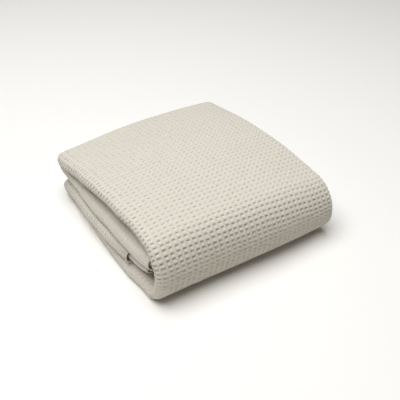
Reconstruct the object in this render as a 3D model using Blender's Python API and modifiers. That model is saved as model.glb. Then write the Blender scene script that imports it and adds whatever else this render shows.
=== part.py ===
"""A pique blanket, folded to a soft square packet, for Blender 4.5.

The blanket is one sheet of waffle cloth, and it is modelled as one sheet. It is first folded
across its width into a long strip of six layers, whose loops show at the left end of the
packet. The strip's two ends then meet inside: the upper end lies under the top of the packet,
the lower end on its bottom, and the strip turns round the front in one wide bend.

Units are metres, +Z is up, +X runs along the front fold and the packet rests on z = 0.
"""

import math
from collections import namedtuple

import bmesh
import bpy

MM = 0.001

# Cloth
CLOTH = 2.0 * MM
LAYERS = 6

# Packet before it sags and bulges
LENGTH = 316 * MM
DEPTH = 358 * MM
LAYER_GAP = 0.6 * MM
LOOP_STEP = 5.0 * MM
LOOP_SQUARENESS = 2.7

# Bends of the strip, as the reach of their outer face along Y
FRONT_REACH = 41 * MM
FRONT_WALL = 19 * MM
BACK_REACH = 20 * MM

# Heights of each pass of the strip along the packet, from the back (+Y) to the front (-Y)
Height = namedtuple("Height", "y bottom top")
TOP_PASS = (
    Height(y=150 * MM, bottom=64.2 * MM, top=88.0 * MM),
    Height(y=0 * MM, bottom=81.8 * MM, top=100.2 * MM),
    Height(y=-138 * MM, bottom=88.4 * MM, top=106.0 * MM),
)
UPPER_END = (
    Height(y=150 * MM, bottom=38.5 * MM, top=63.0 * MM),
    Height(y=0 * MM, bottom=43.0 * MM, top=80.6 * MM),
    Height(y=-100 * MM, bottom=44.5 * MM, top=86.4 * MM),
    Height(y=-128 * MM, bottom=47.0 * MM, top=86.6 * MM),
    Height(y=-147 * MM, bottom=54.0 * MM, top=82.0 * MM),
)
LOWER_END = (
    Height(y=150 * MM, bottom=16.9 * MM, top=37.3 * MM),
    Height(y=0 * MM, bottom=18.2 * MM, top=41.8 * MM),
    Height(y=-80 * MM, bottom=18.8 * MM, top=43.0 * MM),
    Height(y=-108 * MM, bottom=22.0 * MM, top=43.9 * MM),
    Height(y=-132 * MM, bottom=32.0 * MM, top=47.8 * MM),
)
BOTTOM_PASS = (
    Height(y=150 * MM, bottom=0 * MM, top=15.8 * MM),
    Height(y=0 * MM, bottom=0 * MM, top=17.0 * MM),
    Height(y=-138 * MM, bottom=0 * MM, top=18.0 * MM),
)

# How far the looped end of each pass stands in (+) or out (-) at the left of the packet, and
# the share of its height that it loses there
Edge = namedtuple("Edge", "y inset squash", defaults=[0])
TOP_EDGE = (
    Edge(y=150 * MM, inset=-2 * MM),
    Edge(y=0 * MM, inset=4 * MM),
    Edge(y=-100 * MM, inset=6 * MM),
    Edge(y=-138 * MM, inset=3 * MM),
)
UPPER_EDGE = (
    Edge(y=150 * MM, inset=6 * MM, squash=0.12),
    Edge(y=60 * MM, inset=1.5 * MM, squash=0.32),
    Edge(y=0 * MM, inset=1 * MM, squash=0.42),
    Edge(y=-100 * MM, inset=1.5 * MM, squash=0.42),
    Edge(y=-147 * MM, inset=2 * MM, squash=0.2),
)
LOWER_EDGE = (
    Edge(y=150 * MM, inset=-1 * MM),
    Edge(y=0 * MM, inset=-3 * MM),
    Edge(y=-132 * MM, inset=4 * MM),
)
BOTTOM_EDGE = (
    Edge(y=150 * MM, inset=5 * MM),
    Edge(y=60 * MM, inset=3.5 * MM),
    Edge(y=-60 * MM, inset=-1 * MM),
    Edge(y=-138 * MM, inset=0.5 * MM),
)

# Share of the packet's width over which a squashed end regains its height
SQUASH_WIDTH = 0.3

# At the tip of the lower end its outer loop is drawn back, so that the leaves inside stand out
TIP_SET_BACK = 54 * MM
TIP_LENGTH = 126 * MM
TIP_WIDTH = 0.28

# Sag and bulge of the whole packet, as shares of its height and as lengths
CROWN_ALONG_X = 0.08
CROWN_ALONG_Y = 0.12
FRONT_RIGHT_SAG = 0.17
LEFT_BULGE = 4 * MM
RIGHT_BULGE = 4.3 * MM
RIGHT_FLARE = 7 * MM
BACK_RIGHT_REACH = 15 * MM
BACK_RIGHT_ROUND = 11 * MM
FRONT_RIGHT_REACH = 7.5 * MM
FRONT_BULGE = 4.2 * MM
BULGE_PEAK = 4 / 27
BACK_LEFT_TUCK = 5 * MM
LOWER_CORNER_TUCK = 11 * MM

# Mesh steps
FLAT_STEPS = 6
LEFT_LOOP_STEPS = {5: 5, 3: 4, 1: 3}
RIGHT_LOOP_STEPS = 3
FRONT_STEPS = 9
BACK_STEPS = 5
PASS_STEPS = 7
END_STEPS = 8

CLOTH_COLOUR = (0.76, 0.72, 0.63, 1.0)
CLOTH_ROUGHNESS = 0.95

# One station of the strip: its inner and outer face as (y, z), its looped end's inset and
# squash, and 1 in the lower half of the packet
Station = namedtuple("Station", "inner outer inset squash low")
# One point across the strip: share of its width, reach past it in loop steps, layer, and 1 if it
# belongs to the widest loop or to one of the two layers that this loop joins
Across = namedtuple("Across", "share reach layer widest")


def smooth_lookup(rows, y, field):
    """The named column at y, on a smooth curve through the rows."""
    ys = [row.y for row in rows]
    values = [getattr(row, field) for row in rows]
    last = len(rows) - 1
    y = min(max(y, ys[last]), ys[0])
    part = next(i for i in range(last) if y >= ys[i + 1])
    slopes = []
    for i in range(len(rows)):
        before, after = max(i - 1, 0), min(i + 1, last)
        slopes.append((values[after] - values[before]) / (ys[after] - ys[before]))
    span = ys[part + 1] - ys[part]
    t = (y - ys[part]) / span
    return (
        values[part] * (1 + 2 * t) * (1 - t) ** 2
        + values[part + 1] * t * t * (3 - 2 * t)
        + slopes[part] * span * t * (1 - t) ** 2
        - slopes[part + 1] * span * t * t * (1 - t)
    )


def blend(a, b, share):
    return a + (b - a) * share


def straight(heights, edges, y_from, y_to, steps, inner_is_top, low):
    """Stations of one flat pass. The first and the last belong to this pass."""
    stations = []
    for i in range(steps + 1):
        y = blend(y_from, y_to, i / steps)
        bottom = (y, smooth_lookup(heights, y, "bottom"))
        top = (y, smooth_lookup(heights, y, "top"))
        inner, outer = (top, bottom) if inner_is_top else (bottom, top)
        inset, squash = smooth_lookup(edges, y, "inset"), smooth_lookup(edges, y, "squash")
        stations.append(Station(inner, outer, inset, squash, low))
    return stations


def bend(before, after, side, reach, wall, steps):
    """Stations between two passes, round half an ellipse on each face, without its two ends."""
    centre_y = before.inner[0]
    centre_z = (before.inner[1] + after.inner[1]) / 2
    inner_reach = reach - wall
    stations = []
    for i in range(1, steps):
        angle = math.pi * i / steps
        start = before if angle < math.pi / 2 else after
        along, out = abs(math.cos(angle)), side * math.sin(angle)
        faces = []
        for z, y_reach in ((start.inner[1], inner_reach), (start.outer[1], reach)):
            faces.append((centre_y + y_reach * out, centre_z + (z - centre_z) * along))
        inset = blend(before.inset, after.inset, i / steps)
        squash = blend(before.squash, after.squash, i / steps)
        low = blend(before.low, after.low, i / steps)
        stations.append(Station(faces[0], faces[1], inset, squash, low))
    return stations


def strip_route():
    """All stations, from the free upper end round the front to the free lower end."""
    back_y = DEPTH / 2 - BACK_REACH
    front_y = -DEPTH / 2 + FRONT_REACH
    upper = straight(UPPER_END, UPPER_EDGE, UPPER_END[-1].y, back_y, END_STEPS, True, 0)
    top = straight(TOP_PASS, TOP_EDGE, back_y, front_y, PASS_STEPS, False, 0)
    bottom = straight(BOTTOM_PASS, BOTTOM_EDGE, front_y, back_y, PASS_STEPS, True, 1)
    lower = straight(LOWER_END, LOWER_EDGE, back_y, LOWER_END[-1].y, END_STEPS, False, 1)
    back_wall = BACK_REACH - LAYER_GAP
    route = list(upper)
    route += bend(upper[-1], top[0], 1, BACK_REACH, back_wall, BACK_STEPS) + top
    route += bend(top[-1], bottom[0], -1, FRONT_REACH, FRONT_WALL, FRONT_STEPS) + bottom
    route += bend(bottom[-1], lower[0], 1, BACK_REACH, back_wall, BACK_STEPS) + lower
    return route


def loop(share, from_layer, to_layer, steps):
    """Points round one loop that joins two layers, without its two ends."""
    radius = abs(to_layer - from_layer) / 2
    side = 1 if share else -1
    points = []
    for i in range(1, steps):
        angle = math.pi * i / steps
        layer = blend(from_layer, to_layer, (1 - math.cos(angle)) / 2)
        reach = radius * (1 - abs(math.cos(angle)) ** LOOP_SQUARENESS) ** (1 / LOOP_SQUARENESS)
        points.append(Across(share, side * reach, layer, radius * 2 == LAYERS - 1))
    return points


def strip_section():
    """All points across the strip, from one hem to the other. Layer 0 is the innermost."""
    order = (0, 5, 4, 1, 2, 3)
    section = []
    for turn, layer in enumerate(order):
        goes_left = turn % 2 == 0
        shares = [i / FLAT_STEPS for i in range(FLAT_STEPS + 1)]
        widest = layer in (0, LAYERS - 1)
        if goes_left:
            shares.reverse()
        section += [Across(share, 0, layer, widest) for share in shares]
        if turn + 1 < len(order):
            onward = order[turn + 1]
            steps = LEFT_LOOP_STEPS[abs(onward - layer)] if goes_left else RIGHT_LOOP_STEPS
            section += loop(0 if goes_left else 1, layer, onward, steps)
    return section


def sag(x, y, z, low):
    """The packet's crown, its lower right side, its bulging ends and its tucked corners."""
    across = min(max(2 * x / LENGTH, -1), 1)
    along = min(max(2 * y / DEPTH, -1), 1)
    right, back = (1 + across) / 2, (1 + along) / 2
    left, front = 1 - right, 1 - back
    middle = 1 - along**2
    swell = 1 + CROWN_ALONG_X * (1 - across**2) + CROWN_ALONG_Y * middle
    swell -= FRONT_RIGHT_SAG * right * front
    lift = CLOTH / 2
    new_x = x - LEFT_BULGE * left**2 * middle + RIGHT_BULGE * right**2 * middle
    new_x += RIGHT_FLARE * right
    new_y = y - BACK_LEFT_TUCK * left * back + BACK_RIGHT_REACH * right * back
    new_y -= FRONT_RIGHT_REACH * right * front
    new_y -= FRONT_BULGE * front**4 * right**2 * left / BULGE_PEAK
    new_y -= LOWER_CORNER_TUCK * low * left**3 * back**3
    new_y -= BACK_RIGHT_ROUND * right**5 * back**3
    return new_x, new_y, lift + (z - lift) * swell


def station_at(route, index):
    """The station at an index that may lie between two whole ones."""
    first = min(int(index), len(route) - 2)
    before, after, share = route[first], route[first + 1], index - first
    inner = [blend(a, b, share) for a, b in zip(before.inner, after.inner)]
    outer = [blend(a, b, share) for a, b in zip(before.outer, after.outer)]
    others = [blend(a, b, share) for a, b in zip(before[2:], after[2:])]
    return Station(inner, outer, *others)


def drawn_back(route, index, point):
    """The index along the route where a point lies once the lower end's tip is drawn back."""
    from_tip = abs(route[index].outer[0] - route[-1].outer[0])
    if not point.widest or index < len(route) - 1 - END_STEPS or from_tip > TIP_LENGTH:
        return index
    near_loop = max(1 - point.share / TIP_WIDTH, 0)
    near_loop = near_loop**2 * (3 - 2 * near_loop)
    step = abs(route[-1].outer[0] - route[-2].outer[0])
    return index - TIP_SET_BACK / step * near_loop * (1 - from_tip / TIP_LENGTH) ** 2


def place(station, point):
    """Where the middle of the cloth lies at one station and one point across."""
    (y_in, z_in), (y_out, z_out) = station.inner, station.outer
    thickness = math.hypot(y_out - y_in, z_out - z_in)
    layer_share = point.layer / (LAYERS - 1)
    share = (CLOTH / 2 + layer_share * (thickness - CLOTH)) / thickness
    pressed = station.squash * max(1 - point.share / SQUASH_WIDTH, 0) ** 2
    share = blend(share, 1, pressed)
    widest_loop = (LAYERS - 1) / 2 * LOOP_STEP
    left = -LENGTH / 2 + station.inset + widest_loop
    right = LENGTH / 2 - LOOP_STEP / 2
    x = blend(left, right, point.share) + point.reach * LOOP_STEP
    return sag(x, blend(y_in, y_out, share), blend(z_in, z_out, share), station.low)


def cloth_material():
    material = bpy.data.materials.new("pique_cotton")
    material.use_nodes = True
    shader = material.node_tree.nodes["Principled BSDF"]
    shader.inputs["Base Color"].default_value = CLOTH_COLOUR
    shader.inputs["Roughness"].default_value = CLOTH_ROUGHNESS
    shader.inputs["Metallic"].default_value = 0.0
    return material


def folded_sheet(name):
    """One grid of cloth laid along the route, then given its thickness."""
    route, section = strip_route(), strip_section()
    bm = bmesh.new()
    bmesh.ops.create_grid(bm, x_segments=len(section) - 1, y_segments=len(route) - 1, size=1)
    for vert in bm.verts:
        across = round((vert.co.x + 1) / 2 * (len(section) - 1))
        along = round((vert.co.y + 1) / 2 * (len(route) - 1))
        point = section[across]
        vert.co = place(station_at(route, drawn_back(route, along, point)), point)
    bmesh.ops.recalc_face_normals(bm, faces=bm.faces)
    middle = [(min(v.co[i] for v in bm.verts) + max(v.co[i] for v in bm.verts)) / 2 for i in (0, 1)]
    bmesh.ops.translate(bm, verts=bm.verts, vec=(-middle[0], -middle[1], 0))
    mesh = bpy.data.meshes.new(name)
    bm.to_mesh(mesh)
    bm.free()
    mesh.shade_smooth()
    sheet = bpy.data.objects.new(name, mesh)
    thick = sheet.modifiers.new("cloth", "SOLIDIFY")
    thick.thickness = CLOTH
    thick.offset = 0
    sheet.data.materials.append(cloth_material())
    return sheet


def main():
    for old in list(bpy.data.objects):
        bpy.data.objects.remove(old, do_unlink=True)
    packet = bpy.data.collections.new("folded_pique_blanket")
    bpy.context.scene.collection.children.link(packet)
    packet.objects.link(folded_sheet("blanket"))


main()
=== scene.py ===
"""The looks of a folded pique blanket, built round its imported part.

The blanket is one rectangle of waffle cloth. Here it is woven flat first, as a thin slab that is
measured in cells of its weave, with sunken cells wherever it shows. The slab is then laid over the
packet's own folds: six layers across, and along the strip from its upper end round the back, the
top, the front and the bottom to its lower end.

Units are metres, +Z is up, +X runs along the front fold and the packet rests on z = 0.
"""

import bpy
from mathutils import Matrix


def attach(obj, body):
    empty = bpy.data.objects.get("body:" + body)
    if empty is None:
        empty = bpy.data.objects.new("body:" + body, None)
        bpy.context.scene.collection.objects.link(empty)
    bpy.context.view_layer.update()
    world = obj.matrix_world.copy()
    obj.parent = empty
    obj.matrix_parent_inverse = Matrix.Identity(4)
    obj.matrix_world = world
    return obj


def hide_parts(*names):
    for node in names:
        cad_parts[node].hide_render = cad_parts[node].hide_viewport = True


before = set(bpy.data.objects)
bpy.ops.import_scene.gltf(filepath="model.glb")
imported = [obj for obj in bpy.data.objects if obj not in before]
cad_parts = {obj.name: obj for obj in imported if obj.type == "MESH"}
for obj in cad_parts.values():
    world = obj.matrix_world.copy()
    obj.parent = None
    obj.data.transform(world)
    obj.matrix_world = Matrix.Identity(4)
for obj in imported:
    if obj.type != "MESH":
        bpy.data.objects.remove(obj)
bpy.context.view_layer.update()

import logging
import math
from dataclasses import dataclass, field
from enum import Enum, IntEnum

import bmesh
import bpy
from mathutils import Matrix, Vector

log = logging.getLogger("blanket")

MM = 0.001
WEAVE_MAP = "weave"
LAYERS = 6
LOOP_SQUARENESS = 2.7
SAMPLE_TOLERANCE = 1e-3

Colour = tuple[float, float, float, float]


class End(Enum):
    """The two ends of the packet, as the share of the strip's width where they lie."""

    LEFT = 0
    RIGHT = 1


class Run(IntEnum):
    """The runs of the strip, in order from its upper end."""

    UPPER_END = 0
    UPPER_BACK = 1
    TOP = 2
    FRONT = 3
    BOTTOM = 4
    LOWER_BACK = 5
    LOWER_END = 6


class Span(IntEnum):
    """The first layers and loops across the strip, in order from the cloth's first hem."""

    INNER_LAYER = 0
    WIDE_LOOP = 1
    OUTER_LAYER = 2
    RIGHT_LOOP = 3


@dataclass(frozen=True)
class Height:
    """Where one pass of the strip lies at one place along the packet."""

    y: float
    bottom: float
    top: float


@dataclass(frozen=True)
class Edge:
    """The looped end of a pass at one place along the packet.

    The inset is how far it stands in, and the squash is the share of its height that it loses.
    """

    y: float
    inset: float
    squash: float = 0


@dataclass(frozen=True)
class SmoothTable:
    """Rows from the back of the packet to its front, read on a smooth curve through them."""

    rows: tuple[Height | Edge, ...]

    def at(self, y: float, name: str) -> float:
        """Reads one column.

        Args:
            y: The place along the packet.
            name: The column.

        Returns:
            The column's value there.
        """
        ys = [row.y for row in self.rows]
        values = [getattr(row, name) for row in self.rows]
        last = len(ys) - 1
        y = min(max(y, ys[last]), ys[0])
        part = next(i for i in range(last) if y >= ys[i + 1])
        span = ys[part + 1] - ys[part]
        t = (y - ys[part]) / span
        slopes = []
        for i in (part, part + 1):
            before, after = max(i - 1, 0), min(i + 1, last)
            slopes.append((values[after] - values[before]) / (ys[after] - ys[before]))
        return (
            values[part] * (1 + 2 * t) * (1 - t) ** 2
            + values[part + 1] * t * t * (3 - 2 * t)
            + slopes[0] * span * t * (1 - t) ** 2
            - slopes[1] * span * t * t * (1 - t)
        )


def blend(a: float, b: float, share: float) -> float:
    """The value a share of the way from a to b."""
    return a + (b - a) * share


def even_angle(share: float, flat: float, tall: float) -> float:
    """Turns a share of a half ellipse's length into an angle.

    Args:
        share: The share of the length, from 0 to 1.
        flat: The half axis along which the ellipse starts and ends.
        tall: The other half axis.

    Returns:
        The angle, from 0 to pi.
    """
    uneven = (tall - flat) / (tall + flat)
    return math.pi * share + uneven * math.sin(2 * math.pi * share) / 2


@dataclass(frozen=True)
class Station:
    """One place along the strip.

    It has the strip's inner and outer face as (y, z), its looped end's inset and squash, and the
    share to which it belongs to the lower half of the packet.
    """

    inner: tuple[float, float]
    outer: tuple[float, float]
    inset: float
    squash: float
    low: float


@dataclass(frozen=True)
class StraightRun:
    """One flat pass of the strip."""

    heights: SmoothTable
    edges: SmoothTable
    y_from: float
    y_to: float
    inner_is_top: bool
    low: float
    steps: tuple[float, ...]

    def station(self, share: float) -> Station:
        """Finds the strip's faces at one place of the pass.

        Args:
            share: The share of the pass.

        Returns:
            The station there.
        """
        y = blend(self.y_from, self.y_to, share)
        bottom = (y, self.heights.at(y, "bottom"))
        top = (y, self.heights.at(y, "top"))
        inner, outer = (top, bottom) if self.inner_is_top else (bottom, top)
        inset, squash = self.edges.at(y, "inset"), self.edges.at(y, "squash")
        return Station(inner, outer, inset, squash, self.low)


@dataclass(frozen=True)
class BendRun:
    """One turn of the strip, round half an ellipse on each of its faces.

    The side is 1 for a turn at the back of the packet and -1 for one at its front.
    """

    before: Station
    after: Station
    side: int
    reach: float
    wall: float
    steps: tuple[float, ...]

    def station(self, share: float) -> Station:
        """Finds the strip's faces at one place of the turn.

        Args:
            share: The share of the turn.

        Returns:
            The station there.
        """
        centre_y = self.before.inner[0]
        centre_z = (self.before.inner[1] + self.after.inner[1]) / 2
        half_height = abs(self.before.outer[1] - self.after.outer[1]) / 2
        angle = even_angle(share, self.reach, half_height)
        nearer = self.before if share < 0.5 else self.after
        along, out = abs(math.cos(angle)), self.side * math.sin(angle)
        faces = []
        for z, reach in ((nearer.inner[1], self.reach - self.wall), (nearer.outer[1], self.reach)):
            faces.append((centre_y + reach * out, centre_z + (z - centre_z) * along))
        inset = blend(self.before.inset, self.after.inset, share)
        squash = blend(self.before.squash, self.after.squash, share)
        low = blend(self.before.low, self.after.low, share)
        return Station(faces[0], faces[1], inset, squash, low)


@dataclass(frozen=True)
class Across:
    """One place across the strip: share of its width, reach past it in loop steps, and layer."""

    share: float
    reach: float
    layer: float


@dataclass(frozen=True)
class FlatSpan:
    """One layer of the strip, from one of its ends to the other."""

    layer: int
    start: End
    steps: tuple[float, ...]

    def across(self, share: float, thickness_in_steps: float) -> Across:
        """The place at a share of the layer, which is the same for any thickness."""
        return Across(share if self.start is End.LEFT else 1 - share, 0, self.layer)


@dataclass(frozen=True)
class LoopSpan:
    """One loop that joins two layers at an end of the strip."""

    end: End
    from_layer: int
    to_layer: int
    steps: tuple[float, ...]

    def across(self, share: float, thickness_in_steps: float) -> Across:
        """Finds one place of the loop.

        Args:
            share: The share of the loop.
            thickness_in_steps: The strip's thickness there, in loop steps.

        Returns:
            The place.
        """
        radius = abs(self.to_layer - self.from_layer) / 2
        angle = even_angle(share, radius, radius * thickness_in_steps / (LAYERS - 1))
        layer = blend(self.from_layer, self.to_layer, (1 - math.cos(angle)) / 2)
        side = 1 if self.end is End.RIGHT else -1
        flattened = 1 - abs(math.cos(angle)) ** LOOP_SQUARENESS
        reach = radius * flattened ** (1 / LOOP_SQUARENESS)
        return Across(self.end.value, side * reach, layer)


@dataclass(frozen=True)
class Line:
    """Runs or spans laid end to end and measured in cells of the weave."""

    parts: tuple[StraightRun | BendRun | FlatSpan | LoopSpan, ...]

    def start(self, index: int) -> float:
        """Where the part of that index starts."""
        return sum(sum(part.steps) for part in self.parts[:index])

    def length(self) -> float:
        """Where the last part ends."""
        return self.start(len(self.parts))

    def marks(self) -> list[float]:
        """Lists where the coarse rows or columns of the cloth lie.

        Returns:
            Their places, in cells.
        """
        marks = [0.0]
        for part in self.parts:
            for step in part.steps:
                marks.append(marks[-1] + step)
        return marks

    def find(self, place: float) -> tuple[int, float]:
        """Finds the part at a place.

        Args:
            place: The place, in cells.

        Returns:
            The part's index and the share of it.
        """
        for index, part in enumerate(self.parts):
            length = sum(part.steps)
            if place <= length or index == len(self.parts) - 1:
                return index, place / length
            place -= length
        raise ValueError("the line has no parts")


@dataclass(frozen=True)
class Wave:
    """One wave of a small unevenness along the strip."""

    height: float
    cells_per_radian: float
    phase: float = 0

    def at(self, place: float) -> float:
        """The wave's height at a place, in cells."""
        return self.height * math.sin(place / self.cells_per_radian + self.phase)


@dataclass
class PacketFolds:
    """The folds of the packet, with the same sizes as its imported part."""

    # The cloth and the packet before it sags
    cloth: float = 2.0 * MM
    length: float = 316 * MM
    depth: float = 358 * MM
    layer_gap: float = 0.6 * MM
    loop_step: float = 5.0 * MM
    front_reach: float = 41 * MM
    front_wall: float = 19 * MM
    back_reach: float = 20 * MM
    centring: tuple[float, float] = (2.0951 * MM, -1.2351 * MM)

    # Sag and bulge of the whole packet, as shares of its height and as lengths
    crown_along_x: float = 0.08
    crown_along_y: float = 0.12
    front_right_sag: float = 0.17
    left_bulge: float = 4 * MM
    right_bulge: float = 4.3 * MM
    right_flare: float = 7 * MM
    back_right_reach: float = 15 * MM
    back_right_round: float = 11 * MM
    front_right_reach: float = 7.5 * MM
    front_bulge: float = 4.2 * MM
    bulge_peak: float = 4 / 27
    back_left_tuck: float = 5 * MM
    lower_corner_tuck: float = 11 * MM

    # Heights of the four passes
    top_pass: SmoothTable = SmoothTable(
        (
            Height(y=150 * MM, bottom=64.2 * MM, top=88.0 * MM),
            Height(y=0 * MM, bottom=81.8 * MM, top=100.2 * MM),
            Height(y=-138 * MM, bottom=88.4 * MM, top=106.0 * MM),
        )
    )
    upper_end: SmoothTable = SmoothTable(
        (
            Height(y=150 * MM, bottom=38.5 * MM, top=63.0 * MM),
            Height(y=0 * MM, bottom=43.0 * MM, top=80.6 * MM),
            Height(y=-100 * MM, bottom=44.5 * MM, top=86.4 * MM),
            Height(y=-128 * MM, bottom=47.0 * MM, top=86.6 * MM),
            Height(y=-147 * MM, bottom=54.0 * MM, top=82.0 * MM),
        )
    )
    lower_end: SmoothTable = SmoothTable(
        (
            Height(y=150 * MM, bottom=16.9 * MM, top=37.3 * MM),
            Height(y=0 * MM, bottom=18.2 * MM, top=41.8 * MM),
            Height(y=-80 * MM, bottom=18.8 * MM, top=43.0 * MM),
            Height(y=-108 * MM, bottom=22.0 * MM, top=43.9 * MM),
            Height(y=-132 * MM, bottom=32.0 * MM, top=47.8 * MM),
        )
    )
    bottom_pass: SmoothTable = SmoothTable(
        (
            Height(y=150 * MM, bottom=0 * MM, top=15.8 * MM),
            Height(y=0 * MM, bottom=0 * MM, top=17.0 * MM),
            Height(y=-138 * MM, bottom=0 * MM, top=18.0 * MM),
        )
    )

    # Looped ends of the four passes
    top_edge: SmoothTable = SmoothTable(
        (
            Edge(y=150 * MM, inset=-2 * MM),
            Edge(y=0 * MM, inset=4 * MM),
            Edge(y=-100 * MM, inset=6 * MM),
            Edge(y=-138 * MM, inset=3 * MM),
        )
    )
    upper_edge: SmoothTable = SmoothTable(
        (
            Edge(y=150 * MM, inset=6 * MM, squash=0.12),
            Edge(y=60 * MM, inset=1.5 * MM, squash=0.32),
            Edge(y=0 * MM, inset=1 * MM, squash=0.42),
            Edge(y=-100 * MM, inset=1.5 * MM, squash=0.42),
            Edge(y=-147 * MM, inset=2 * MM, squash=0.2),
        )
    )
    lower_edge: SmoothTable = SmoothTable(
        (
            Edge(y=150 * MM, inset=-1 * MM),
            Edge(y=0 * MM, inset=-3 * MM),
            Edge(y=-132 * MM, inset=4 * MM),
        )
    )
    bottom_edge: SmoothTable = SmoothTable(
        (
            Edge(y=150 * MM, inset=5 * MM),
            Edge(y=60 * MM, inset=3.5 * MM),
            Edge(y=-60 * MM, inset=-1 * MM),
            Edge(y=-138 * MM, inset=0.5 * MM),
        )
    )
    squash_width: float = 0.3
    wave_height: float = 0.35 * MM
    edge_waves: tuple[Wave, ...] = (Wave(1, 1.9), Wave(0.7, 1.13, 1.0))

    # How the lower end's outer loop is drawn back at its tip, in cells of the weave
    tip_set_back: float = 6.0
    tip_set_back_width: float = 9.0
    tip_set_back_length: float = 14.0

    # Coarse rows and columns of the cloth, in cells of the weave
    tip_steps: tuple[float, ...] = (1,) * 5
    end_steps: tuple[float, ...] = (5,) * 6
    pass_steps: tuple[float, ...] = (5,) * 7
    upper_back_steps: tuple[float, ...] = (1,) * 8
    lower_back_steps: tuple[float, ...] = (1,) * 7
    front_steps: tuple[float, ...] = (1,) * 20
    layer_steps: tuple[float, ...] = (4,) * 8
    wide_loop_steps: tuple[float, ...] = (0.5,) * 8
    inner_loop_steps: tuple[float, ...] = (0.5,) * 6
    tight_loop_steps: tuple[float, ...] = (0.25,) * 4

    # Step over which the cloth's direction is measured, in cells
    normal_step: float = 0.02

    route: Line = field(init=False)
    section: Line = field(init=False)
    stations: dict[float, Station] = field(init=False, default_factory=dict)

    def __post_init__(self) -> None:
        """Lays out the strip's route and its section."""
        self.route = self.strip_route()
        self.section = self.strip_section()

    def strip_route(self) -> Line:
        """Lays the strip from its upper end round the front to its lower end.

        Returns:
            The runs, in order.
        """
        back_y = self.depth / 2 - self.back_reach
        front_y = -self.depth / 2 + self.front_reach
        upper_tip, lower_tip = self.upper_end.rows[-1].y, self.lower_end.rows[-1].y
        upper_steps = self.tip_steps + self.end_steps
        lower_steps = self.end_steps + self.tip_steps
        upper = StraightRun(
            self.upper_end, self.upper_edge, upper_tip, back_y, True, 0, upper_steps
        )
        top = StraightRun(self.top_pass, self.top_edge, back_y, front_y, False, 0, self.pass_steps)
        bottom = StraightRun(
            self.bottom_pass, self.bottom_edge, front_y, back_y, True, 1, self.pass_steps
        )
        lower = StraightRun(
            self.lower_end, self.lower_edge, back_y, lower_tip, False, 1, lower_steps
        )
        back = (1, self.back_reach, self.back_reach - self.layer_gap)
        front = (-1, self.front_reach, self.front_wall)
        return Line(
            (
                upper,
                BendRun(upper.station(1), top.station(0), *back, self.upper_back_steps),
                top,
                BendRun(top.station(1), bottom.station(0), *front, self.front_steps),
                bottom,
                BendRun(bottom.station(1), lower.station(0), *back, self.lower_back_steps),
                lower,
            )
        )

    def strip_section(self) -> Line:
        """Lays the cloth across the strip, from one hem to the other. Layer 0 is the innermost.

        Returns:
            The layers and the loops, in order.
        """
        flat, left, right = self.layer_steps, End.LEFT, End.RIGHT
        return Line(
            (
                FlatSpan(0, right, flat),
                LoopSpan(left, 0, 5, self.wide_loop_steps),
                FlatSpan(5, left, flat),
                LoopSpan(right, 5, 4, self.tight_loop_steps),
                FlatSpan(4, right, flat),
                LoopSpan(left, 4, 1, self.inner_loop_steps),
                FlatSpan(1, left, flat),
                LoopSpan(right, 1, 2, self.tight_loop_steps),
                FlatSpan(2, right, flat),
                LoopSpan(left, 2, 3, self.tight_loop_steps),
                FlatSpan(3, left, flat),
            )
        )

    def station(self, along: float) -> Station:
        """Finds the station at a place along the strip.

        Args:
            along: The place, in cells.

        Returns:
            The station, which is kept for the next point there.
        """
        key = round(along, 5)
        if key not in self.stations:
            index, share = self.route.find(key)
            self.stations[key] = self.route.parts[index].station(share)
        return self.stations[key]

    def sag(self, x: float, y: float, z: float, low: float) -> Vector:
        """Gives a point the packet's crown and sag, its bulging ends and its tucked corners.

        Args:
            x: The point before it sags, along the front fold.
            y: The same from front to back.
            z: The same upwards.
            low: 1 in the lower half of the packet and 0 in the upper.

        Returns:
            The point in the row's frame.
        """
        across = min(max(2 * x / self.length, -1), 1)
        along = min(max(2 * y / self.depth, -1), 1)
        right, back = (1 + across) / 2, (1 + along) / 2
        left, front = 1 - right, 1 - back
        middle = 1 - along**2
        swell = 1 + self.crown_along_x * (1 - across**2) + self.crown_along_y * middle
        swell -= self.front_right_sag * right * front
        new_x = x - self.left_bulge * left**2 * middle + self.right_bulge * right**2 * middle
        new_x += self.right_flare * right
        new_y = y - self.back_left_tuck * left * back + self.back_right_reach * right * back
        new_y -= self.front_right_reach * right * front
        new_y -= self.front_bulge * front**4 * right**2 * left / self.bulge_peak
        new_y -= self.lower_corner_tuck * low * left**3 * back**3
        new_y -= self.back_right_round * right**5 * back**3
        lift = self.cloth / 2
        new_z = lift + (z - lift) * swell
        return Vector((new_x - self.centring[0], new_y - self.centring[1], new_z))

    def middle_of_cloth(self, across: float, along: float) -> Vector:
        """Finds where the middle of the cloth lies.

        Args:
            across: The place across the cloth, in cells from its first hem.
            along: The place along the cloth, in cells from its upper end.

        Returns:
            The point in the row's frame.
        """
        station = self.station(self.set_back(across, along))
        (y_in, z_in), (y_out, z_out) = station.inner, station.outer
        thickness = math.hypot(y_out - y_in, z_out - z_in)
        index, share = self.section.find(across)
        point = self.section.parts[index].across(share, thickness / self.loop_step)
        layer_share = point.layer / (LAYERS - 1)
        depth_share = (self.cloth / 2 + layer_share * (thickness - self.cloth)) / thickness
        pressed = station.squash * max(1 - point.share / self.squash_width, 0) ** 2
        depth_share = blend(depth_share, 1, pressed)
        left = -self.length / 2 + station.inset + (LAYERS - 1) / 2 * self.loop_step
        left += self.edge_wave(along)
        right = self.length / 2 - self.loop_step / 2
        x = blend(left, right, point.share) + point.reach * self.loop_step
        y, z = blend(y_in, y_out, depth_share), blend(z_in, z_out, depth_share)
        return self.sag(x, y, z, station.low)

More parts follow.
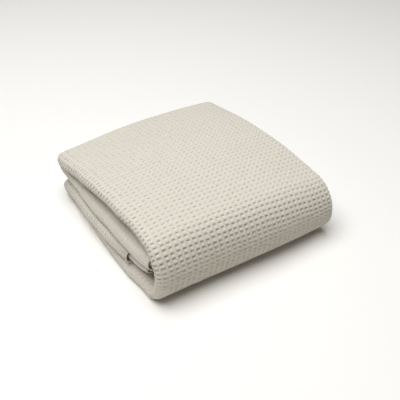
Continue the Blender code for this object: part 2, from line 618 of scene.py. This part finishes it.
    def set_back(self, across: float, along: float) -> float:
        """Draws back the outer loop of the lower end's tip, so that its inner leaves stand out.

        Args:
            across: The place across the cloth, in cells.
            along: The place along the cloth, in cells.

        Returns:
            The place along the strip where that point lies.
        """
        loop_start = self.section.start(Span.WIDE_LOOP)
        loop_end = self.section.start(Span.OUTER_LAYER)
        beside = max(loop_start - across, across - loop_end, 0) / self.tip_set_back_width
        near_loop = max(1 - beside, 0) ** 2 * (1 + 2 * min(beside, 1))
        near_tip = max(1 - (self.route.length() - along) / self.tip_set_back_length, 0)
        return along - self.tip_set_back * near_loop * near_tip**2

    def edge_wave(self, along: float) -> float:
        """How unevenly the looped edge runs at a place along the strip."""
        return self.wave_height * sum(wave.at(along) for wave in self.edge_waves)

    def point(self, across: float, along: float, out: float) -> Vector:
        """Finds a point of the cloth.

        Args:
            across: The place across the cloth, in cells.
            along: The place along the cloth, in cells.
            out: How far the point is out from the cloth's middle, on its outer face.

        Returns:
            The point in the row's frame.
        """
        step = self.normal_step
        aside = self.middle_of_cloth(across + step, along)
        aside -= self.middle_of_cloth(across - step, along)
        ahead = self.middle_of_cloth(across, along + step)
        ahead -= self.middle_of_cloth(across, along - step)
        return self.middle_of_cloth(across, along) + out * ahead.cross(aside).normalized()


@dataclass(frozen=True)
class Patch:
    """A part of the cloth's outer face that shows, from run to run and from span to span."""

    first_run: Run
    last_run: Run
    first_span: Span
    last_span: Span


@dataclass(frozen=True)
class Wander:
    """How the lines of the weave leave their straight course, with turns in radians a cell."""

    slow_turn: float
    skew: float
    skew_turn: float
    quick_turn: float
    side_step: float
    on_step: float
    quick_share: float = 0.5

    def drift(self, on: float, side: float) -> float:
        """The slow wandering of a line, at a place on it and at its side."""
        slow = math.sin(self.slow_turn * on + self.skew * math.sin(self.skew_turn * side))
        return slow + self.quick_share * math.sin(self.quick_turn * on)

    def jolt(self, on: float, side: float) -> float:
        """The odd shift of a line from cell to cell, at a place on it and at its side."""
        return math.sin(self.side_step * math.floor(side) + self.on_step * math.floor(on) ** 2)


@dataclass
class WaffleSheet:
    """The blanket: one flat woven rectangle, laid over the folds."""

    name: str = "blanket_cloth"
    folds: PacketFolds = field(default_factory=PacketFolds)
    flat_size: tuple[float, float] = (1.40, 2.00)
    patches: tuple[Patch, ...] = (
        Patch(Run.UPPER_END, Run.LOWER_END, Span.WIDE_LOOP, Span.WIDE_LOOP),
        Patch(Run.UPPER_END, Run.LOWER_END, Span.RIGHT_LOOP, Span.RIGHT_LOOP),
        Patch(Run.UPPER_BACK, Run.LOWER_BACK, Span.OUTER_LAYER, Span.OUTER_LAYER),
        Patch(Run.FRONT, Run.FRONT, Span.INNER_LAYER, Span.INNER_LAYER),
    )

    # Thickness of the flat slab in cells, which only tells its two faces apart
    slab: float = 0.2

    # The samples of one cell: how many, where they go, and which of them are on its floor
    samples: int = 4
    across_places: tuple[float, ...] = (0, 0.22, 0.41, 0.79, 1)
    along_places: tuple[float, ...] = (0, 0.36, 0.50, 0.67, 1)
    floor_range: tuple[float, float] = (0.375, 0.875)

    # Relief of the weave, which fades over some cells on the ends inside
    ridge_lift: float = 0.8 * MM
    crossing_dip: float = 0.9 * MM
    cell_depth: float = 2.2 * MM
    inside_relief: float = 0.35
    relief_fade: float = 4.0

    # Unevenness of the rows, of the columns and of the whole cloth
    wander: float = 0.09
    jitter: float = 0.05
    column_wander: Wander = Wander(0.37, 1.3, 0.19, 1.1, 5.3, 2.9)
    row_wander: Wander = Wander(0.31, 1.1, 0.23, 0.9, 3.7, 1.9)
    swell_height: float = 0.5 * MM
    swell_across: float = 3.1
    swell_along: float = 3.7
    swell_skew: Wave = Wave(1.2, 5.3)

    def build(self) -> bpy.types.Object:
        """Weaves and folds the cloth.

        Returns:
            The finished piece, with no modifier left on it.
        """
        bm = bmesh.new()
        self.flat_slab(bm)
        self.split_patches(bm)
        self.keep_weave_map(bm)
        self.fold(bm)
        mesh = bpy.data.meshes.new(self.name)
        bm.to_mesh(mesh)
        bm.free()
        mesh.shade_smooth()
        sheet = bpy.data.objects.new(self.name, mesh)
        bpy.context.scene.collection.objects.link(sheet)
        return sheet

    def flat_slab(self, bm: bmesh.types.BMesh) -> None:
        """Makes the flat cloth with a coarse column or row at each mark.

        Args:
            bm: The empty mesh to fill.
        """
        columns, rows = self.folds.section.marks(), self.folds.route.marks()
        bmesh.ops.create_grid(bm, x_segments=len(columns) - 1, y_segments=len(rows) - 1, size=1)
        for vert in bm.verts:
            column = round((vert.co.x + 1) / 2 * (len(columns) - 1))
            row = round((vert.co.y + 1) / 2 * (len(rows) - 1))
            vert.co = (columns[column], rows[row], 0)
        bmesh.ops.solidify(bm, geom=bm.faces[:], thickness=self.slab)
        middle = sum(vert.co.z for vert in bm.verts) / len(bm.verts)
        bmesh.ops.translate(bm, verts=bm.verts, vec=(0, 0, -middle))

    def in_patch(self, across: float, along: float) -> bool:
        """Tells whether a place of the cloth is in one of the patches that show.

        Args:
            across: The place across the cloth, in cells.
            along: The place along the cloth, in cells.

        Returns:
            Whether it is.
        """
        section, route = self.folds.section, self.folds.route
        return any(
            section.start(patch.first_span) <= across <= section.start(patch.last_span + 1)
            and route.start(patch.first_run) <= along <= route.start(patch.last_run + 1)
            for patch in self.patches
        )

    def split_patches(self, bm: bmesh.types.BMesh) -> None:
        """Splits the patches that show until each cell of the weave has its samples.

        Args:
            bm: The flat slab.
        """
        for axis in (0, 1):
            cuts_of: dict[int, dict[bmesh.types.BMEdge, None]] = {}
            for face in bm.faces:
                centre = face.calc_center_bounds()
                on_outer_face = centre.z > self.slab / 4
                if not on_outer_face or not self.in_patch(centre.x, centre.y):
                    continue
                for edge in face.edges:
                    way = edge.verts[1].co - edge.verts[0].co
                    if abs(way[axis]) > abs(way[1 - axis]):
                        cuts = round(way.length * self.samples) - 1
                        cuts_of.setdefault(cuts, {})[edge] = None
            for cuts, edges in cuts_of.items():
                if cuts > 0:
                    bmesh.ops.subdivide_edges(bm, edges=list(edges), cuts=cuts, use_grid_fill=True)
        joints = [face for face in bm.faces if len(face.verts) > 4]
        bmesh.ops.triangulate(bm, faces=joints)

    def keep_weave_map(self, bm: bmesh.types.BMesh) -> None:
        """Keeps each point's place in the flat cloth as the UV map that the finish reads.

        Args:
            bm: The flat slab, which is measured in cells.
        """
        layer = bm.loops.layers.uv.new(WEAVE_MAP)
        for face in bm.faces:
            for loop in face.loops:
                loop[layer].uv = loop.vert.co.xy

    def spread(self, place: float, places: tuple[float, ...]) -> float:
        """Moves a sample to the edge of its ridge or of its sunken cell.

        Args:
            place: The sample, in cells along one way of the weave.
            places: Where the samples of a cell go, as shares of it.

        Returns:
            The sample's new place.
        """
        cell, share = math.floor(place), place % 1
        sample = round(share * self.samples)
        if abs(share * self.samples - sample) > SAMPLE_TOLERANCE:
            return place
        return cell + places[sample]

    def wandered(self, across: float, along: float) -> tuple[float, float]:
        """Lets the rows and columns of the weave wander a little from their straight lines.

        Args:
            across: The place across the cloth, in cells.
            along: The place along the cloth, in cells.

        Returns:
            The new place.
        """
        aside = self.wander * self.column_wander.drift(along, across)
        aside += self.jitter * self.column_wander.jolt(along, across)
        ahead = self.wander * self.row_wander.drift(across, along)
        ahead += self.jitter * self.row_wander.jolt(across, along)
        return across + aside, along + ahead

    def relief(self, along: float) -> float:
        """Tells how strongly the weave stands out: fully outside, and less on the ends inside.

        Args:
            along: The place along the cloth, in cells.

        Returns:
            The share of the full relief.
        """
        route = self.folds.route
        inside = max(route.start(Run.UPPER_BACK) - along, along - route.start(Run.LOWER_END), 0)
        return 1 - (1 - self.inside_relief) * min(inside / self.relief_fade, 1)

    def swell(self, across: float, along: float) -> float:
        """The soft unevenness of the cloth, outwards from its folds."""
        wide = math.sin(across / self.swell_across + self.swell_skew.at(along))
        return self.swell_height * wide * math.sin(along / self.swell_along)

    def within(self, across: float, along: float) -> tuple[float, float]:
        """Keeps a place inside the cloth's four hems."""
        width, length = self.folds.section.length(), self.folds.route.length()
        return min(max(across, 0), width), min(max(along, 0), length)

    def sunken(self, place: float) -> bool:
        """Whether a sample lies on the floor of a cell, and not on a ridge."""
        return self.floor_range[0] < place % 1 < self.floor_range[1]

    def fold(self, bm: bmesh.types.BMesh) -> None:
        """Sinks the cells of the flat slab and lays it over the folds, its faces outwards.

        Args:
            bm: The flat slab.
        """
        half = self.folds.cloth / 2
        for vert in bm.verts:
            across, along, side = vert.co
            out = half if side > 0 else -half
            if side > 0 and self.in_patch(across, along):
                relief = self.relief(along)
                out += self.ridge_lift * relief
                if self.sunken(across) and self.sunken(along):
                    out -= self.cell_depth * relief
                elif not self.sunken(across) and not self.sunken(along):
                    out -= self.crossing_dip * relief
                across = self.spread(across, self.across_places)
                along = self.spread(along, self.along_places)
            out += self.swell(across, along)
            across, along = self.within(*self.wandered(across, along))
            vert.co = self.folds.point(across, along, out)
            vert.co.z = max(vert.co.z, 0)
        bmesh.ops.recalc_face_normals(bm, faces=bm.faces)
        if bm.calc_volume(signed=True) < 0:
            bmesh.ops.reverse_faces(bm, faces=bm.faces)


class Value:
    """A shader socket that Python's operators add Math nodes to."""

    def __init__(self, kit: "ShaderKit", socket: bpy.types.NodeSocket) -> None:
        self.kit, self.socket = kit, socket

    def math(self, operation: str, *values: "Value | float") -> "Value":
        """Adds one Math node.

        Args:
            operation: The node's operation.
            values: Its inputs.

        Returns:
            Its result.
        """
        node = self.kit.node("ShaderNodeMath", {"operation": operation}, dict(enumerate(values)))
        return Value(self.kit, node.outputs[0])

    def __add__(self, other: "Value | float") -> "Value":
        """Self + other."""
        return self.math("ADD", self, other)

    def __radd__(self, other: float) -> "Value":
        """Other + self."""
        return self.math("ADD", other, self)

    def __sub__(self, other: "Value | float") -> "Value":
        """Self - other."""
        return self.math("SUBTRACT", self, other)

    def __rsub__(self, other: float) -> "Value":
        """Other - self."""
        return self.math("SUBTRACT", other, self)

    def __mul__(self, other: "Value | float") -> "Value":
        """Self times other."""
        return self.math("MULTIPLY", self, other)

    def __rmul__(self, other: float) -> "Value":
        """Other times self."""
        return self.math("MULTIPLY", other, self)

    def floor(self) -> "Value":
        """The value rounded down."""
        return self.math("FLOOR", self)

    def sine(self) -> "Value":
        """The sine of the value, in radians."""
        return self.math("SINE", self)

    def cosine(self) -> "Value":
        """The cosine of the value, in radians."""
        return self.math("COSINE", self)


@dataclass(frozen=True)
class Ramp:
    """Two values between which a share rises softly from 0 to 1."""

    low: float
    high: float


class ShaderKit:
    """Builds one material's nodes."""

    def __init__(self, name: str) -> None:
        """Starts a material with a Principled shader.

        Args:
            name: The material's name.
        """
        self.material = bpy.data.materials.new(name)
        self.material.use_nodes = True
        self.tree = self.material.node_tree
        self.shader = self.tree.nodes["Principled BSDF"]

    def node(self, kind: str, settings: dict, inputs: dict) -> bpy.types.Node:
        """Adds one node.

        Args:
            kind: The node's type.
            settings: Its properties, which are set first.
            inputs: Values or links, by the name or number of their socket.

        Returns:
            The node.
        """
        node = self.tree.nodes.new(kind)
        for name, value in settings.items():
            setattr(node, name, value)
        for name, value in inputs.items():
            self.join(value, node.inputs[name])
        return node

    def join(self, value: object, socket: bpy.types.NodeSocket) -> None:
        """Links a value to a socket, or sets the socket to a plain number or colour.

        Args:
            value: The value, another socket, or the number or colour.
            socket: The socket.
        """
        if isinstance(value, Value):
            self.tree.links.new(value.socket, socket)
        elif isinstance(value, bpy.types.NodeSocket):
            self.tree.links.new(value, socket)
        else:
            socket.default_value = value

    def mix(self, share: Value, first: object, second: object) -> bpy.types.NodeSocket:
        """Mixes two colours.

        Args:
            share: How much of the second shows.
            first: A colour or a link.
            second: A colour or a link.

        Returns:
            The mixed colour's socket.
        """
        settings = {"data_type": "RGBA", "clamp_factor": True}
        return self.node("ShaderNodeMix", settings, {0: share, 6: first, 7: second}).outputs[2]

    def noise(self, coords: bpy.types.NodeSocket, scale: float, detail: float) -> Value:
        """A noise from 0 to 1 of that scale and detail."""
        inputs = {"Vector": coords, "Scale": scale, "Detail": detail}
        return Value(self, self.node("ShaderNodeTexNoise", {}, inputs).outputs[0])

    def rise(self, value: Value, ramp: Ramp) -> Value:
        """Turns a value softly into a share.

        Args:
            value: The value.
            ramp: Where the share is 0 and where it is 1.

        Returns:
            The share.
        """
        inputs = {0: value, 1: ramp.low, 2: ramp.high}
        settings = {"interpolation_type": "SMOOTHSTEP"}
        return Value(self, self.node("ShaderNodeMapRange", settings, inputs).outputs[0])


@dataclass(frozen=True)
class Stripe:
    """A soft stripe in each cell of the weave.

    Its centre is a share of the cell, and its ramp reads the cosine of the distance from there.
    """

    centre: float
    ramp: Ramp

    def mask(self, kit: ShaderKit, place: Value, shift: Value | float = 0) -> Value:
        """Masks the stripe.

        Args:
            kit: The material's kit.
            place: The place along one way of the weave, in cells.
            shift: How far the stripe moves on, as a share of the cell.

        Returns:
            The mask, which is 1 in the stripe.
        """
        distance = place - (shift + self.centre)
        return kit.rise((distance * (2 * math.pi)).cosine(), self.ramp)


@dataclass(frozen=True)
class WaffleCotton:
    """Pale stone cotton: crossed yarns, painted shade in the cells, a painted highlight on the
    ridges, a painted warm shade on the front bend, and a little uneven.
    """

    ridge_colour: Colour = (0.70, 0.670, 0.597, 1)
    # Painted warm shade for the front bend, which lies in shade
    bend_warm_shade_colour: Colour = (0.71, 0.665, 0.57, 1)
    # Painted highlight on the ridges
    painted_highlight_colour: Colour = (0.80, 0.765, 0.69, 1)
    # Painted shade in the cells; the fine noise also mixes a little of it in at random
    cell_shade_and_fuzz_colour: Colour = (0.36, 0.315, 0.24, 1)
    uneven_colour: Colour = (0.66, 0.626, 0.552, 1)
    roughness: float = 0.92
    sheen: float = 0.25
    sheen_roughness: float = 0.5
    specular: float = 0.15

    # Shares of the colours that are laid over the ridges' own: random unevenness, the bend's
    # painted warm shade, the painted highlight, and fine noise
    uneven_share: float = 0.5
    bend_warm_shade_share: float = 0.8
    painted_highlight_share: float = 0.6
    fuzz_share: float = 0.1

    # Yarns and noises
    yarns_per_cell: int = 9
    yarn_height: float = 0.5
    bump_height: float = 0.25 * MM
    bump_strength: float = 0.6
    fuzz_scale: float = 1400
    cloud_scale: float = 14
    noise_detail: float = 3

    # Stripes of painted shade and of painted highlight in each cell. On the front bend the painted
    # shade moves on, and on its under side it joins up to columns
    shade_column_stripe: Stripe = Stripe(0.6, Ramp(-0.1, 0.65))
    shade_row_stripe: Stripe = Stripe(0.42, Ramp(0.6, 0.96))
    painted_highlight_row: Stripe = Stripe(0.96, Ramp(0.6, 0.95))
    row_shift: float = 0.12
    joined: float = 0.8

    # Where along and across the cloth the front bend, its under side and the left edge lie, and
    # where the bend's painted warm shade starts, in cells
    bend_start: Ramp = Ramp(60, 84)
    bend_end: Ramp = Ramp(99, 105)
    bend_side: Ramp = Ramp(30, 34)
    under_start: Ramp = Ramp(85, 92)
    under_side: Ramp = Ramp(34, 38)
    edge_start: Ramp = Ramp(31, 34)
    edge_end: Ramp = Ramp(35, 38)
    bend_warm_shade_start: Ramp = Ramp(74, 88)

    # How strongly the painted shade and painted highlight of the cells show on the flat top, and
    # how much more elsewhere. Chance multiplies this for each cell, by the least or by up to the
    # spread more
    top_painted_light: float = 0.29
    edge_painted_light: float = 0.25
    bend_painted_light: float = 0.36
    under_painted_light: float = 0.5
    least_chance: float = 0.55
    chance_spread: float = 0.9

    def material(self) -> bpy.types.Material:
        """Builds the finish.

        Returns:
            The material.
        """
        kit = ShaderKit("waffle_cotton")
        weave = kit.node("ShaderNodeUVMap", {"uv_map": WEAVE_MAP}, {})
        places = kit.node("ShaderNodeSeparateXYZ", {}, {0: weave.outputs[0]})
        across, along = Value(kit, places.outputs[0]), Value(kit, places.outputs[1])
        coords = kit.node("ShaderNodeTexCoord", {}, {}).outputs["Object"]
        fuzz = kit.noise(coords, self.fuzz_scale, self.noise_detail)
        clouds = kit.noise(coords, self.cloud_scale, self.noise_detail)
        colour = self.colour(kit, across, along, fuzz, clouds)
        kit.join(colour, kit.shader.inputs["Base Color"])
        kit.join(self.bump(kit, across, along, fuzz), kit.shader.inputs["Normal"])
        constants = {
            "Roughness": self.roughness,
            "Sheen Weight": self.sheen,
            "Sheen Roughness": self.sheen_roughness,
            "Specular IOR Level": self.specular,
        }
        for name, value in constants.items():
            kit.shader.inputs[name].default_value = value
        return kit.material

    def colour(
        self, kit: ShaderKit, across: Value, along: Value, fuzz: Value, clouds: Value
    ) -> bpy.types.NodeSocket:
        """Colours the ridges, and paints shade into the cells, a highlight on the ridges and a
        warm shade on the front bend.

        Args:
            kit: The material's kit.
            across: The place across the cloth, in cells.
            along: The place along the cloth, in cells.
            fuzz: A fine noise.
            clouds: A coarse noise.

        Returns:
            The colour's socket.
        """
        bend = kit.rise(along, self.bend_start) * (1 - kit.rise(along, self.bend_end))
        bend = bend * kit.rise(across, self.bend_side)
        under = bend * kit.rise(along, self.under_start) * kit.rise(across, self.under_side)
        front = bend * self.bend_painted_light + under * self.under_painted_light
        # How strongly the painted shade and painted highlight show in each cell
        painted_light_strength = self.painted_light_strength(kit, across, along, front)
        # Painted shade in each cell, a stripe across and one along, set where the ridge above
        # shades it
        column = self.shade_column_stripe.mask(kit, across)
        row = self.shade_row_stripe.mask(kit, along, bend * self.row_shift)
        cell_shade = column * (row + under * (1 - row) * self.joined)
        # Painted highlight on the ridge below each cell
        painted_highlight = column * self.painted_highlight_row.mask(kit, along)
        # Painted warm shade on the front bend
        warm_shade = bend * kit.rise(along, self.bend_warm_shade_start) * self.bend_warm_shade_share
        colour = kit.mix(clouds * self.uneven_share, self.ridge_colour, self.uneven_colour)
        colour = kit.mix(warm_shade, colour, self.bend_warm_shade_colour)
        # Painted shade in the cells, with a little of the same colour mixed in at random by the
        # fine noise
        colour = kit.mix(cell_shade * painted_light_strength + fuzz * self.fuzz_share, colour, self.cell_shade_and_fuzz_colour)
        return kit.mix(painted_highlight * painted_light_strength * self.painted_highlight_share, colour, self.painted_highlight_colour)

    def painted_light_strength(self, kit: ShaderKit, across: Value, along: Value, front: Value) -> Value:
        """Tells how strongly each cell's painted shade and painted highlight show.

        It is least on the flat top, more round the left edge, and most on the front.

        Args:
            kit: The material's kit.
            across: The place across the cloth, in cells.
            along: The place along the cloth, in cells.
            front: How much more strongly they show on the front bend.

        Returns:
            The share, which differs a little from cell to cell.
        """
        index = kit.node("ShaderNodeCombineXYZ", {}, {0: across.floor(), 1: along.floor()})
        settings = {"noise_dimensions": "2D"}
        chance = kit.node("ShaderNodeTexWhiteNoise", settings, {0: index.outputs[0]})
        uneven = Value(kit, chance.outputs[0]) * self.chance_spread + self.least_chance
        edge = kit.rise(across, self.edge_start) * (1 - kit.rise(across, self.edge_end))
        return (front + edge * self.edge_painted_light + self.top_painted_light) * uneven

    def bump(
        self, kit: ShaderKit, across: Value, along: Value, fuzz: Value
    ) -> bpy.types.NodeSocket:
        """Raises the yarns.

        Args:
            kit: The material's kit.
            across: The place across the cloth, in cells.
            along: The place along the cloth, in cells.
            fuzz: A fine noise.

        Returns:
            The normal's socket.
        """
        turn = 2 * math.pi * self.yarns_per_cell
        yarns = (across * turn).sine() * (along * turn).sine()
        inputs = {
            "Strength": self.bump_strength,
            "Distance": self.bump_height,
            "Height": yarns * self.yarn_height + fuzz,
        }
        return kit.node("ShaderNodeBump", {}, inputs).outputs[0]


@dataclass
class Studio:
    """A pale floor, soft light and the camera."""

    floor_size: float = 8.0
    floor_colour: Colour = (0.93, 0.92, 0.90, 1)
    floor_roughness: float = 1.0
    world_strength: float = 0.13
    world_colour: Colour = (1, 0.95, 0.86, 1)
    key_place: Vector = field(default_factory=lambda: Vector((-0.48, 0.0, 2.4)))
    key_aim: Vector = field(default_factory=lambda: Vector((0, 0, 0.05)))
    key_size: float = 2.4
    key_power: float = 73.0
    eye: Vector = field(default_factory=lambda: Vector((-0.43864, -0.69624, 0.66374)))
    aim: Vector = field(default_factory=lambda: Vector((0.01151, -0.02299, 0.0334)))
    focal_length: float = 53.92
    sensor_width: float = 36.0

    def build(self) -> None:
        """Makes the floor, the lights and the camera."""
        self.floor()
        self.lights()
        self.camera()

    def floor(self) -> None:
        """Lays a plain pale floor under the packet."""
        bm = bmesh.new()
        bmesh.ops.create_grid(bm, x_segments=1, y_segments=1, size=self.floor_size / 2)
        mesh = bpy.data.meshes.new("floor")
        bm.to_mesh(mesh)
        bm.free()
        floor = bpy.data.objects.new("floor", mesh)
        bpy.context.scene.collection.objects.link(floor)
        kit = ShaderKit("floor_paper")
        kit.shader.inputs["Base Color"].default_value = self.floor_colour
        kit.shader.inputs["Roughness"].default_value = self.floor_roughness
        mesh.materials.append(kit.material)

    def lights(self) -> None:
        """Lights the studio with a pale world and one large soft lamp."""
        scene = bpy.context.scene
        scene.view_settings.view_transform = "Standard"
        world = bpy.data.worlds.new("studio")
        world.use_nodes = True
        back = world.node_tree.nodes["Background"]
        back.inputs["Color"].default_value = self.world_colour
        back.inputs["Strength"].default_value = self.world_strength
        scene.world = world
        lamp = bpy.data.lights.new("key_lamp", "AREA")
        lamp.shape, lamp.size, lamp.energy = "DISK", self.key_size, self.key_power
        key = bpy.data.objects.new("key_lamp", lamp)
        key.matrix_world = self.looking(self.key_place, self.key_aim)
        scene.collection.objects.link(key)

    def camera(self) -> None:
        """Stands the camera where the photograph was taken."""
        lens = bpy.data.cameras.new("camera")
        lens.sensor_width, lens.lens = self.sensor_width, self.focal_length
        camera = bpy.data.objects.new("camera", lens)
        camera.matrix_world = self.looking(self.eye, self.aim)
        bpy.context.scene.collection.objects.link(camera)
        bpy.context.scene.camera = camera

    @staticmethod
    def looking(eye: Vector, aim: Vector) -> Matrix:
        """The place of a camera or lamp at eye that looks at aim."""
        return Matrix.Translation(eye) @ (aim - eye).to_track_quat("-Z", "Y").to_matrix().to_4x4()


def main() -> None:
    """Builds the blanket and the studio in order."""
    logging.basicConfig(level=logging.INFO)
    sheet = WaffleSheet()
    cloth = sheet.build()
    cloth.data.materials.append(WaffleCotton().material())
    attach(cloth, "root")
    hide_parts("blanket")
    Studio().build()
    cloth.data.calc_loop_triangles()
    log.info("%s: %d triangles", cloth.name, len(cloth.data.loop_triangles))
    bpy.context.view_layer.update()


if __name__ == "__main__":
    main()
